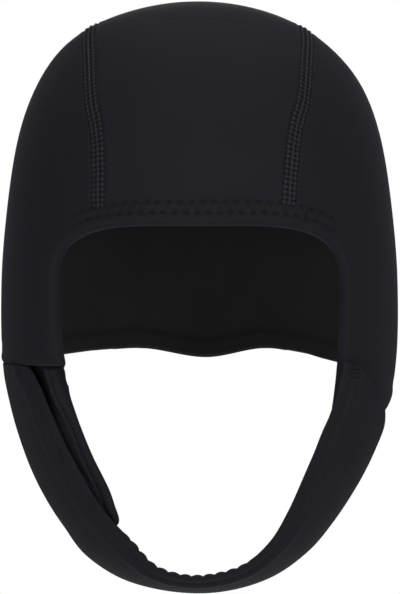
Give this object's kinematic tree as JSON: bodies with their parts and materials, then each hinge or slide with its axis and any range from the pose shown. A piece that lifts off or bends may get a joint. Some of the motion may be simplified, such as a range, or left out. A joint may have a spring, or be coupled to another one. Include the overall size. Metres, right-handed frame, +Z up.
{
  "type": "diving cap",
  "caption": "Close-fitting neoprene diving cap with a turned hem, ear flaps and a wide chin strap that closes with hook and loop.",
  "frame": {"origin": "inside the crown at its top, where the cap rests on the head", "axes": "+Z up out of the crown, the face opening towards -Y, the wearer's left +X"},
  "size_m": [0.1715, 0.2012, 0.2513],
  "materials": {
    "jersey": "charcoal black nylon jersey laminated on neoprene foam",
    "loop": "black loop pile",
    "hook": "black hook tape"
  },
  "bodies": {
    "root": {"centre_panel": "jersey", "side_panel_left": "jersey", "side_panel_right": "jersey", "chin_strap": "jersey", "chin_tab": "jersey", "loop_patch": "loop", "hook_patch": "hook"}
  },
  "joints": []
}
